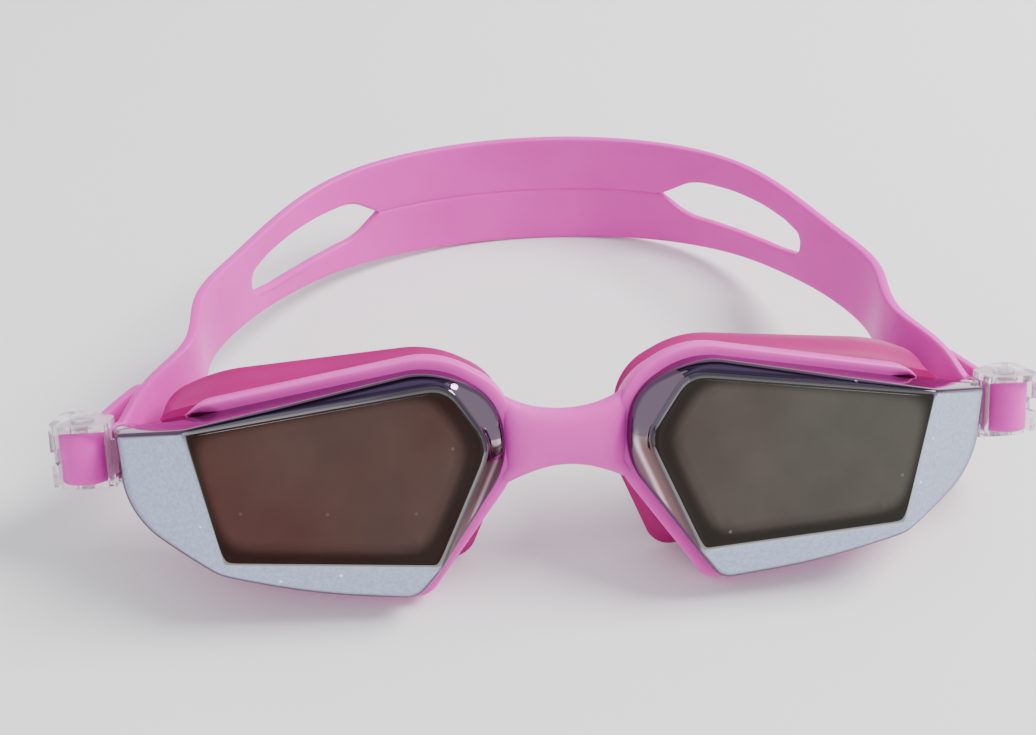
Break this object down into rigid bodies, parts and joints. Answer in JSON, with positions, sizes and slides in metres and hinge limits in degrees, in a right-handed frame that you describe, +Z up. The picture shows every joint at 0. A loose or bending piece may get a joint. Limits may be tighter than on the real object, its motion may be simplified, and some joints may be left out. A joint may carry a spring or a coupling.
{
  "type": "swim goggles",
  "caption": "Swim goggles with faceted mirrored lenses, soft silicone frame, nose bridge and eye seals, hinged side clips with release levers, and a split silicone head strap.",
  "frame": {"origin": "on the table, at the middle of the goggles' bounding box", "axes": "+X to the wearer's left, +Y from the lenses back to the head strap, +Z up from the table"},
  "size_m": [0.1788, 0.1174, 0.0402],
  "materials": {
    "silicone_frame": "satin pink silicone",
    "silicone_seal": "satin deep pink silicone",
    "silicone_strap": "satin pink silicone",
    "mirror_lens": "silver mirror coat on clear plastic",
    "clear_clip": "clear moulded plastic",
    "clear_pin": "clear plastic pin"
  },
  "bodies": {
    "front": {"soft_frame": "silicone_frame", "head_strap": "silicone_strap", "eye_seal_left": "silicone_seal", "lens_left": "mirror_lens", "hinge_pin_left": "clear_pin", "eye_seal_right": "silicone_seal", "lens_right": "mirror_lens", "hinge_pin_right": "clear_pin"},
    "clip_left": {"side_clip_left": "clear_clip", "strap_post_left": "clear_clip", "strap_end_left": "silicone_strap", "lever_pin_left": "clear_pin"},
    "lever_left": {"release_lever_left": "clear_clip"},
    "clip_right": {"side_clip_right": "clear_clip", "strap_post_right": "clear_clip", "strap_end_right": "silicone_strap", "lever_pin_right": "clear_pin"},
    "lever_right": {"release_lever_right": "clear_clip"}
  },
  "joints": [
    {"name": "clip_hinge_left", "type": "hinge", "parent": "front", "child": "clip_left", "pos_m": [0.0754, -0.03559, 0.02146], "axis": [0, 0.4909, 0.8712], "range_deg": [-10, 10]},
    {"name": "clip_hinge_right", "type": "hinge", "parent": "front", "child": "clip_right", "pos_m": [-0.0754, -0.03559, 0.02146], "axis": [0, 0.4909, 0.8712], "range_deg": [-10, 10]},
    {"name": "release_lever_left", "type": "hinge", "parent": "clip_left", "child": "lever_left", "pos_m": [0.0866, -0.02868, 0.01757], "axis": [0, 0.4909, 0.8712], "range_deg": [0, 8], "stiffness_Nm_per_rad": 0.02},
    {"name": "release_lever_right", "type": "hinge", "parent": "clip_right", "child": "lever_right", "pos_m": [-0.0866, -0.02868, 0.01757], "axis": [0, -0.4909, -0.8712], "range_deg": [0, 8], "stiffness_Nm_per_rad": 0.02}
  ]
}
